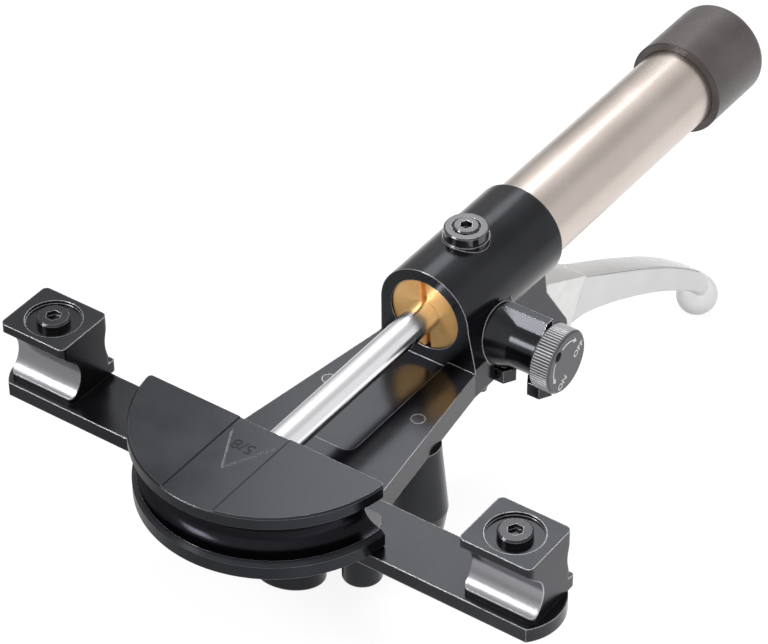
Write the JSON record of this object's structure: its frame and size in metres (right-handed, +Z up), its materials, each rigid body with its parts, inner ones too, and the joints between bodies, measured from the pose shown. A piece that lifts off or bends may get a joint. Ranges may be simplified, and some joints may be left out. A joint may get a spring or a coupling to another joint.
{
  "type": "hydraulic pipe bender",
  "caption": "Hand hydraulic pipe bender: a pumped ram pushes a half-moon former between two swivelling guide blocks; black casting, pale handle tube, rubber cap, pump lever",
  "frame": {"origin": "on the ram axis, at the back face of the bending former with the ram fully out", "axes": "+X to the right along the crossbar seen from the handle, +Y along the ram axis from the former to the rubber cap, +Z up, square to the former's flat top"},
  "size_m": [0.2738, 0.41, 0.181],
  "materials": {
    "black_casting": "gloss black enamel on cast iron",
    "black_steel": "satin black enamel on steel",
    "fastener": "black oxide",
    "plated": "zinc plated",
    "ground_steel": "ground",
    "chrome_rod": "hard chrome, polished",
    "gland_brass": "turned",
    "handle_metal": "drawn, satin, pale champagne",
    "cap_rubber": "satin moulded",
    "seal_rubber": "satin",
    "seal_blue": "polyurethane",
    "guide_plastic": "filled nylon",
    "copper": "annealed copper",
    "knob_metal": "black anodised, knurled",
    "lever_metal": "cast, bead blasted",
    "sleeve_clear": "soft translucent vinyl"
  },
  "bodies": {
    "frame": {"body_casting": "black_casting", "crossbar": "black_steel", "crossbar_screws": "fastener", "front_foot": "black_casting", "rear_feet": "black_casting", "foot_screws": "fastener", "block_bolts": "fastener", "block_washers": "plated", "block_nuts": "plated", "ram_return_spring": "ground_steel", "gland_nut": "gland_brass", "rod_seal": "seal_blue", "rod_wiper": "seal_rubber", "inner_cylinder": "ground_steel", "cylinder_seal": "seal_rubber", "cylinder_base": "ground_steel", "handle_tube": "handle_metal", "tube_end_plug": "ground_steel", "end_plug_seal": "seal_rubber", "oil_bladder": "seal_rubber", "end_cap": "cap_rubber", "filler_collar": "black_casting", "filler_washer": "copper", "filler_screw": "fastener", "spindle_seal": "seal_rubber", "release_ball": "ground_steel", "valve_plugs": "fastener", "valve_springs": "ground_steel", "valve_balls": "ground_steel", "port_plug": "fastener", "plunger_seal": "seal_rubber", "plunger_spring": "ground_steel", "lever_pin": "ground_steel", "pin_clips": "fastener"},
    "ram": {"ram_rod": "chrome_rod", "ram_head": "ground_steel", "head_guide_ring": "guide_plastic", "head_nut": "plated", "bending_former": "black_casting", "former_ring": "plated"},
    "left_block": {"guide_block_left": "black_casting"},
    "right_block": {"guide_block_right": "black_casting"},
    "release_valve": {"release_knob": "knob_metal", "knob_grub_screw": "fastener", "release_spindle": "ground_steel"},
    "pump_lever": {"lever_core": "lever_metal", "lever_sleeve": "sleeve_clear"},
    "pump_plunger": {"pump_plunger": "ground_steel"}
  },
  "joints": [
    {"name": "ram_slide", "type": "slide", "parent": "frame", "child": "ram", "axis": [0, 1, 0], "range_m": [0, 0.1], "stiffness_N_per_m": 100, "springref_m": 0.11, "deforming": ["ram_return_spring"]},
    {"name": "left_block_swivel", "type": "hinge", "parent": "frame", "child": "left_block", "pos_m": [-0.1156, 0.0071, 0], "axis": [0, 0, 1], "continuous": true},
    {"name": "right_block_swivel", "type": "hinge", "parent": "frame", "child": "right_block", "pos_m": [0.1156, 0.0071, 0], "axis": [0, 0, 1], "continuous": true},
    {"name": "release_turn", "type": "hinge", "parent": "frame", "child": "release_valve", "pos_m": [0, 0.133, -0.0133], "axis": [1, 0, 0], "range_deg": [0, 270]},
    {"name": "lever_swing", "type": "hinge", "parent": "frame", "child": "pump_lever", "pos_m": [0, 0.1951, -0.06], "axis": [1, 0, 0], "range_deg": [0, 28], "stiffness_Nm_per_rad": 6, "springref_deg": -28.65},
    {"name": "plunger_slide", "type": "slide", "parent": "frame", "child": "pump_plunger", "axis": [0, 1, 0], "range_m": [-0.009, 0], "deforming": ["plunger_spring"]}
  ],
  "couplings": [
    {"joint": "plunger_slide", "follows": "lever_swing", "m_per_rad": -0.018}
  ]
}
